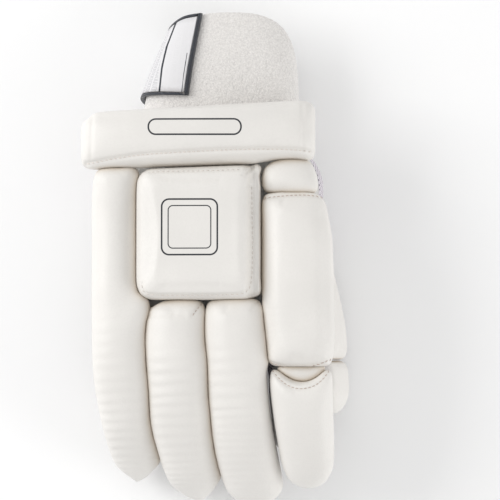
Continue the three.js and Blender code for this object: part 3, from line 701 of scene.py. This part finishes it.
# %% Fill every pad
CUFFWARD, THUMBWARD = (0, 1, 0), (1, 0, 0)
little_roll = padding("little_finger_roll", "little_finger_cushion")
ring_roll = padding("ring_finger_roll", "ring_finger_cushion")
middle_roll = padding("middle_finger_roll", "middle_finger_cushion")
index_base = padding("index_base_roll", "index_base_cushion")
index_knuckle = padding("index_knuckle_roll", "index_knuckle_cushion")
index_tip = padding("index_tip_roll", "index_tip_cushion")
gusset = padding("index_joint_gusset", "index_joint_cushion", voxel=0.9, crown=0.6)
thumb_base = padding("thumb_base_roll", "thumb_base_cushion", voxel=1.3)
thumb_tip = padding("thumb_tip_roll", "thumb_tip_cushion", voxel=1.1, crown=0.8)
pad = padding("back_pad", "back_cushion", voxel=1.25, crown=0.9, pressure=5)
cuff = padding("cuff_roll", "cuff_cushion", voxel=1.25, crown=0.8, pressure=5)
lump(little_roll, spot(147, 308, 45), 3.0, 8)
lump(little_roll, spot(149, 300, 45), 3.2, 6)
lump(little_roll, spot(139, 170, 50), 3.0, 6)
lump(ring_roll, spot(149, 302, 50), -2.0, 5)
lump(pad, spot(259, 167, 55), 2.6, 4, (0.7, 0.7, 0))
lump(pad, spot(259, 291, 55), 1.8, 4, (0.7, -0.7, 0))
lump(index_base, spot(264, 163, 60), -1.0, 4)
for column in (280, 298):
    lump(index_base, spot(column, 163, 60), 1.3, 8, CUFFWARD)
lump(index_knuckle, spot(331, 199, 50), 1.6, 7, THUMBWARD)
lump(ring_roll, spot(180, 302, 50), 1.4, 10, CUFFWARD)
lump(middle_roll, spot(232, 300, 50), 0.9, 10, CUFFWARD)
lump(cuff, spot(82, 112, 50), -3.2, 5)
for column in (270, 284, 298):
    lump(cuff, spot(column, 164, 55), 1.2, 7, CUFFWARD)
press([little_roll, ring_roll, middle_roll, index_base, index_knuckle], [pad, cuff])
press([index_tip, gusset], [index_knuckle], most=1.0)
press([thumb_base, thumb_tip], most=0.4)

# %% [markdown]
# ## The long rolls
# Each long roll is one padded tube that narrows to a blunt point, where the leather is gathered into
# a small nub. The leather ribs where it bends over the knuckles, more towards the tips, and the ribs
# fade at the sides, where the leather is pulled tight.

# %% Ribs, nubs and creases


def down(row):
    """How far towards the fingertips a row of the picture lies, on the rolls' tops."""
    return -spot(214, row, 56).y


def rib(piece, lows, depths):
    """Numbers a roll's ribs. lows are the picture's rows of the valleys. depths pair rows with mm."""
    table, normal = points(piece), points(piece, "normal")
    count = np.interp(-table[:, 1], [down(row) for row in lows], np.arange(len(lows)))
    strength = np.interp(-table[:, 1], [down(row) for row, _ in depths], [d for _, d in depths])
    strength *= np.clip((normal[:, 2] - 0.1) * 2.2, 0, 1) * np.clip(0.85 - 0.5 * normal[:, 0], 0.1, 1.2)
    sideways = (table[:, 0] - table[:, 0].mean()) / MM
    carry(piece, "ribs", count + sideways * 0.012 - 0.29)
    carry(piece, "rib_depth", strength)


def nub(piece, column, row):
    """Narrows a roll's tip towards one point of the picture and gathers a small nub there."""
    table = points(piece)
    tip = spot(column, row, 30)
    ahead = (table[:, 1] - table[:, 1].min()) / MM
    reach, pull, wide, tall = 9.0, 0.3, 2.2, 1.0
    table[:, 0] += (tip.x - table[:, 0]) * (np.clip(1 - ahead / reach, 0, 1) ** 1.3 * pull)
    near = np.exp(-(((table[:, 0] - tip.x) / (wide * MM)) ** 2)) * np.clip(1 - ahead / 4, 0, 1)
    table[:, 1] -= near * tall * MM
    move_to(piece, table)


little_lows = [316, 329, 342, 354, 366, 379, 390, 401, 411, 421, 431, 440, 449, 457, 464, 470, 476, 481]
ring_lows = [344, 357, 370, 382, 394, 404, 415, 425, 435, 445, 454, 462, 469, 476, 481, 486, 490, 495]
middle_lows = [345, 358, 370, 382, 394, 407, 416, 425, 433, 440, 447, 455, 463, 470, 477, 484, 491, 498]
little_depths = [(308, 0), (330, 0.1), (372, 0.17), (400, 0.23), (470, 0.25), (482, 0)]
ring_depths = [(336, 0), (352, 0.15), (370, 0.36), (395, 0.3), (418, 0.2), (488, 0.18), (497, 0)]
middle_depths = [(336, 0), (352, 0.2), (380, 0.2), (407, 0.3), (422, 0.1), (492, 0.12), (500, 0)]
rib(little_roll, little_lows, little_depths)
rib(ring_roll, ring_lows, ring_depths)
rib(middle_roll, middle_lows, middle_depths)
rib(index_knuckle, [297, 306, 313, 322, 331, 338, 347, 355, 362], [(296, 0), (310, 0.05), (362, 0)])
nub(little_roll, 136, 480)
nub(ring_roll, 200, 500)
nub(middle_roll, 252, 506)
ring_fold = [spot(x, y, 60) for x, y in ((148, 316), (160, 315), (172, 315), (184, 314))]
ring_seam = [spot(x, y, 60) for x, y in ((192.5, 316), (196, 311), (200, 306), (204, 300))]
middle_fold = [spot(x, y, 60) for x, y in ((252, 310), (256, 304), (259, 300))]
dip(ring_roll, ring_fold, 0.45, 1.8)
dip(ring_roll, ring_seam, 0.55, 0.9)
dip(middle_roll, middle_fold, 0.4, 1.1)
dress(little_roll, white_leather, "white_leather", "little_finger_roll", fill=0.8)
dress(ring_roll, white_leather, "white_leather", "ring_finger_roll", fill=0.8)
dress(middle_roll, white_leather, "white_leather", "middle_finger_roll", fill=0.8)

# %% [markdown]
# The index finger's long length overlaps the short one at its wrist end with a turned hem, which
# stands a little proud between its edge and its stitches, and it ends at the joint in another. The
# fingertip's own hem curves round the hollow.

# %% The index finger's hems
hem_rows = [(259, 198), (274, 196.5), (290, 195), (309, 194.5), (328, 198)]
hem_top = rounded([spot(x, y, 68) for x, y in hem_rows])
hem_edge = rounded([spot(x, y - 3, 68) for x, y in hem_rows])
low_rows = [(266, 361), (280, 366), (296, 368), (314, 366), (332, 359)]
hem_low = rounded([spot(x, y, 62) for x, y in low_rows])
tip_rows = [(272, 370), (279, 379), (288, 386), (299, 389), (312, 387), (322, 380), (329, 370)]
tip_hem = rounded([spot(x, y, 56) for x, y in tip_rows])
dip(index_knuckle, hem_edge, -0.5, 1.1)
dip(index_knuckle, hem_top, 0.55, 0.8)
dip(index_knuckle, hem_low, 0.55, 0.9)
lip_rows = [(274, 364.5), (281, 372.5), (289, 378.5), (299, 381.5), (311, 379.5), (321, 374), (327, 366)]
tip_lip = rounded([spot(x, y, 56) for x, y in lip_rows])
dip(index_tip, tip_lip, -0.5, 0.9)
dip(index_tip, tip_hem, 0.5, 0.8)
dress(index_base, white_leather, "white_leather", "index_base_roll", fill=0.8)
dress(index_knuckle, white_leather, "white_leather", "index_knuckle_roll", fill=0.8)
dress(index_tip, white_leather, "white_leather", "index_tip_roll", fill=0.8)
dress(gusset, white_leather, "white_leather", "index_joint_gusset", fill=0.5)
dress(thumb_base, white_leather, "white_leather", "thumb_base_roll", fill=0.7)
dress(thumb_tip, white_leather, "white_leather", "thumb_tip_roll", fill=0.7)

# %% [markdown]
# Down on its outer side each roll has the seam that closes its cover, just above the leather hand.
# It's hidden from straight above and shows from the side.

# %% Closing seams


def line_on(piece, way, start, end):
    """A line along a piece, through the points that reach furthest in one direction."""
    table = points(piece)
    line = []
    slice_half, rim = 2 * MM, 0.25 * MM
    for y in np.linspace(start, end, 26):
        near = table[np.abs(table[:, 1] - y) < slice_half]
        reach = near @ way
        line.append(near[reach > reach.max() - rim].mean(axis=0))
    line = np.array(line)
    line[1:-1] = (line[:-2] + line[1:-1] * 2 + line[2:]) / 4
    return [Vector(p) for p in line]


def closing_seam(piece, way, start, end):
    """Presses a roll's closing seam into its flank."""
    way = np.array(way) / np.linalg.norm(way)
    seam = line_on(piece, way, start, end)
    dip(piece, seam, 0.6, 0.9, facing=way)
    return piece, seam, way


OUT_LEFT, OUT_RIGHT = (-0.8, 0, -0.6), (0.8, 0, -0.6)
flanks = [
    closing_seam(little_roll, OUT_LEFT, 46 * MM, -86 * MM),
    closing_seam(index_knuckle, OUT_RIGHT, 28 * MM, -56 * MM),
    closing_seam(index_tip, OUT_RIGHT, -66 * MM, -110 * MM),
    closing_seam(index_base, OUT_RIGHT, 44 * MM, 34 * MM),
]

# %% [markdown]
# ## The square pad
# The pad is a box of foam under one sheet of leather. The sheet is sewn down round the foot of the
# foam, so the face stands up with soft bevels, and a flat rim shows at the index finger's side.
# At the corner next to the index finger the spare leather is bunched into a knot.

# %% The pad
pad_rows = [(142, 284), (143, 291), (148, 294.8), (164, 295.4), (200, 295.4), (236, 295)]
pad_rows += [(246, 293), (251, 286), (252.5, 268), (252.3, 230), (251.8, 186)]
pad_line = rounded([spot(x, y, 62) for x, y in pad_rows])
pad_top = rounded([spot(x, y, 68) for x, y in ((150, 172), (170, 171), (200, 171), (240, 169.5))])
fold_rows = [[(243, 175), (253, 167)], [(249, 186), (255, 171)]]
rim = [(244, 0), (246.4, 0.8), (251.3, 4.4), (253.6, 4.6), (256.4, 2.8), (258.5, 0.4), (260, 0)]
table, normal = points(pad), points(pad, "normal")
sunk = np.interp(table[:, 0], [spot(x, 230, 65).x for x, _ in rim], [depth for _, depth in rim])
move_to(pad, table - UP * (sunk * np.clip(normal[:, 2] * 3, 0, 1) * MM)[:, None])
dip(pad, pad_line, 0.6, 0.9)
dip(pad, pad_top, 0.35, 0.8)
lump(pad, spot(257.5, 167, 64), 1.8, 2.6)
for fold in fold_rows:
    dip(pad, [spot(x, y, 66) for x, y in fold], 0.6, 1.0)
dress(pad, pad_leather, "white_leather", "back_pad", fill=0.85)

# %% [markdown]
# ## The cuff roll
# The bar across the wrist is boxed foam too. One seam runs along it from end to end, and under the
# seam the leather turns in as a rounded lip that is widest in the middle. Soft creases show where the
# foam's corners lie under the leather.

# %% The cuff
cuff_rows = [(85, 162.6), (97, 161), (110.6, 158.5), (128, 156), (145.8, 153.9), (187, 151.6)]
cuff_rows += [(233, 149.3), (279, 148.6), (300, 149.6), (312, 151.2)]
cuff_line = rounded([spot(x, y, 70) for x, y in cuff_rows])
end_rows = [[(303, 104), (303.4, 126), (303, 150)], [(91.5, 116), (90.5, 134), (90, 158)]]
for bevel in end_rows:
    dip(cuff, [spot(x, y, 70) for x, y in bevel], 0.5, 1.3)
top_rows = [(96, 117), (150, 115), (230, 111.5), (300, 108.5)]
dip(cuff, [spot(x, y, 70) for x, y in top_rows], 0.3, 1.5)
dip(cuff, cuff_line, 1.0, 1.2)
dress(cuff, cuff_leather, "white_leather", "cuff_roll", fill=0.85)

# %% [markdown]
# ## The leather hand
# The palm and the five stalls are thin leather shells. Their corners come from cutting, so they're
# rebuilt as an even grid of quads and relaxed, and the leather then gets its soft wrinkles.

# %% Palm and stalls


def skin(node, name):
    """A relaxed copy of a leather shell with soft wrinkles."""
    wrinkle = 0.35
    piece = remeshed(copy_of(node, name), 1.0)
    relax(piece, 4)
    table, normal = points(piece), points(piece, "normal")
    lift = np.array([noise.noise(Vector(p) * 90) + 0.5 * noise.noise(Vector(p) * 210) for p in table])
    move_to(piece, table + normal * (lift * wrinkle * MM)[:, None])
    return piece


palm = skin("palm", "palm_leather_hand")
lump(palm, spot(318, 172, 25), 2.0, 12, THUMBWARD)
fingers = ("little", "ring", "middle", "index", "thumb")
stalls = {finger: skin(f"{finger}_stall", f"{finger}_leather_stall") for finger in fingers}
print("One palm and", len(stalls), "stalls")

# %% [markdown]
# A stall is cut from a palm piece and a back piece, with a strip of net let in between them near the
# root. The pieces meet in rolled seams along both lower corners. The palm has net at its two sides.

# %% Gussets and rolled seams


def net_on(piece, start, end):
    """Marks the upright sides of a piece between two places along the glove as net."""
    table, normal = points(piece), points(piece, "normal")
    fade = 2.5 * MM
    share = np.clip((np.abs(normal[:, 0]) - 0.66) * 4 + 0.45, 0, 1)
    share *= np.clip((table[:, 1] - start) / fade, 0, 1) * np.clip((end - table[:, 1]) / fade, 0, 1)
    carry(piece, "net", spread(piece, share, 2))


seams = []
LOW_LEFT, LOW_RIGHT = np.array((-0.72, 0, -0.69)), np.array((0.72, 0, -0.69))
for finger, stall in stalls.items():
    lowest, highest = points(stall)[:, 1].min(), points(stall)[:, 1].max()
    net_on(stall, lowest + (highest - lowest) * 0.42, highest + 5 * MM)
    for way in (LOW_LEFT, LOW_RIGHT):
        seam = line_on(stall, way, highest - 6 * MM, lowest + 6 * MM)
        dip(stall, seam, -0.7, 0.8, facing=way)
        seams.append((stall, seam, way))
    dress(stall, palm_leather, "palm_leather", f"{finger}_stall")
net_on(palm, 6 * MM, 78 * MM)
for way in (LOW_LEFT, LOW_RIGHT):
    seam = line_on(palm, way, -2 * MM, 52 * MM)
    dip(palm, seam, -0.7, 0.9, facing=way)
    seams.append((palm, seam, way))
dress(palm, palm_leather, "palm_leather", "palm")
patch = smoothed(copy_of("palm_patch", "palm_heel_patch", 60), 2)
carry(patch, "net", np.zeros(len(patch.data.vertices)))
dress(patch, palm_leather, "palm_leather", "palm_patch")

# %% [markdown]
# ## The wristband and its strap
# The band is an open tube of doubled towelling. Its loops are too small to model, but the lumps they
# make are real. The strap is a flat panel inside a bound edge, wrapped round the band.

# %% The wristband
band = smoothed(copy_of("wrist_band", "towelling_band"), 4)
table, normal = points(band), points(band, "normal")
lumps = np.array([noise.noise(Vector(p) * 700) for p in table])
folds = np.array([noise.noise(Vector((p[0] * 60, p[1] * 18, p[2] * 60))) for p in table])
move_to(band, table + normal * ((lumps * 0.28 + folds * 0.5) * MM)[:, None])
dress(band, towelling, "towelling", "wrist_band")

# %% The strap
strap = smoothed(copy_of("wrist_strap", "strap_panel", 50), 2)
table = points(strap)
middle = (table.min(axis=0) + table.max(axis=0)) / 2
angle = (np.degrees(np.arctan2(table[:, 2] - middle[2], table[:, 0] - middle[0])) - 90) % 360
stops, window = np.linspace(angle.min(), angle.max(), 60), 6
apart = np.abs(angle[None, :] - stops[:, None])
path = np.array([table[row < window][:, [0, 2]].mean(axis=0) for row in apart])
reach = np.concatenate([[0], np.cumsum(np.linalg.norm(np.diff(path, axis=0), axis=1))])
length = np.interp(angle, stops, reach)
print(f"The strap is {reach[-1] / MM:.0f} mm long")


def beside(piece, line):
    """How far each point of a piece lies to the right of a line, in millimetres."""
    line = sorted((p.y, p.x) for p in line)
    table = points(piece)
    return (table[:, 0] - np.interp(table[:, 1], [y for y, _ in line], [x for _, x in line])) / MM


bold_rows = [(176, 19), (174.9, 21.7), (166.2, 44.5), (161.5, 65.3), (158.8, 93)]
bold_line = [spot(x, y, 46) for x, y in bold_rows]
thin_rows = [(188.1, 45), (185.7, 60), (183.5, 74), (181.3, 94)]
thin_line = [spot(x, y, 47) for x, y in thin_rows]
carry(strap, "from_line", beside(strap, bold_line))
carry(strap, "from_thin", beside(strap, thin_line))
wrap = strap.data.uv_layers.new(name="wrap")
corner = np.empty(len(strap.data.loops), dtype=np.int32)
strap.data.loops.foreach_get("vertex_index", corner)
wrap.data.foreach_set("uv", np.stack([length, table[:, 1]], axis=1)[corner].astype(np.float32).ravel())
dress(strap, strap_film, "strap_film", "wrist_strap")
edge = smoothed(copy_of("strap_edge", "strap_binding", 60), 2)
dress(edge, navy_tape, "navy_tape", "strap_edge")

# %% [markdown]
# ## Sewing
# The stitches of a real glove are about two and a half millimetres apart. Most are white; the hems
# of the index finger are sewn with a rosier thread. On the palm side only short grey dots show, along
# the rolled seams, round the heel's patch and in boxes that hold the lining under each finger.

# %% Stitches
stitches("cuff_stitches", cuff, [cuff_line], white_thread_with_painted_shade, spacing=2.5)
stitches("pad_stitches", pad, [pad_line, pad_top], white_thread_with_painted_shade, spacing=2.7, thick=0.3)
for k, (piece, seam, way) in enumerate(flanks):
    stitches(f"flank_stitches_{k}", piece, [seam], white_thread_with_painted_shade, spacing=2.7, thick=0.3, facing=way)
for k, (piece, seam, way) in enumerate(seams):
    inside = [p - Vector((way[0], 0, 0)) * 3.2 * MM for p in seam]
    stitches(f"seam_dots_{k}", piece, [inside], grey_thread, length=0.9, thick=0.24, facing=way)


def box_line(left, right, low, high):
    """A rectangle of the plan, in millimetres, as a closed line."""
    corners = ((left, low), (right, low), (right, high), (left, high), (left, low))
    return [Vector((x * MM, y * MM, 0.02)) for x, y in corners]


dots = {"spacing": 2.4, "length": 1.1, "thick": 0.26, "facing": -UP}
low, high = [Vector(corner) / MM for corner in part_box("palm_patch")]
patch_box = box_line(low.x + 2.5, high.x - 2.5, low.y + 2.5, high.y - 2.5)
stitches("patch_dots", patch, [patch_box], grey_thread, **dots)
for finger in ("ring", "middle", "index"):
    low, high = [Vector(corner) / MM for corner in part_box(f"{finger}_stall")]
    middle = (low.x + high.x) / 2
    box = box_line(middle - 6.5, middle + 6.5, high.y - 44, high.y - 14)
    stitches(f"{finger}_box_dots", stalls[finger], [box], grey_thread, **dots)
stitches("ring_crease_stitches", ring_roll, [ring_seam], rose_thread, spacing=2.2, thick=0.26)
stitches("index_hem_stitches", index_knuckle, [hem_top, hem_low], rose_thread, spacing=2.3, thick=0.3)
stitches("index_tip_stitches", index_tip, [tip_hem], rose_thread, spacing=2.3, thick=0.28)

# %% [markdown]
# ## The room
# A pale floor and soft light from the upper left, as in a product picture. A large lamp is soft
# because its light comes from many sides at once, and the pale world fills the shadows.

# %% Floor and lamps
shell = bmesh.new()
bmesh.ops.create_grid(shell, x_segments=1, y_segments=1, size=3)
floor = new_piece("floor", shell)
finish = Finish("pale_floor", (0.97, 0.97, 0.97), 0.7)
speckle = finish.noise(finish.place(), 6, 2)
tone = finish.mix(speckle, (0.965, 0.965, 0.965, 1), (0.975, 0.975, 0.975, 1))
floor.data.materials.append(finish.use(Base_Color=tone).material)


def lamp(name, place, size, power):
    light = bpy.data.lights.new(name, "AREA")
    light.size, light.energy = size, power
    made = bpy.data.objects.new(name, light)
    made.location = place
    made.rotation_euler = (Vector((0, 0, 0.03)) - Vector(place)).to_track_quat("-Z", "Y").to_euler()
    bpy.context.collection.objects.link(made)
    print(f"{name}: {power} W")


lamp("key_lamp", (-1.25, 0.42, 0.82), 0.9, 12.5)
lamp("side_lamp", (1.25, -0.5, 0.5), 0.8, 6)
world = bpy.data.worlds.new("studio")
world.use_nodes = True
world.node_tree.nodes["Background"].inputs["Color"].default_value = (1, 1, 1, 1)
world.node_tree.nodes["Background"].inputs["Strength"].default_value = 0.71
bpy.context.scene.world = world
bpy.context.scene.view_settings.view_transform = "Standard"
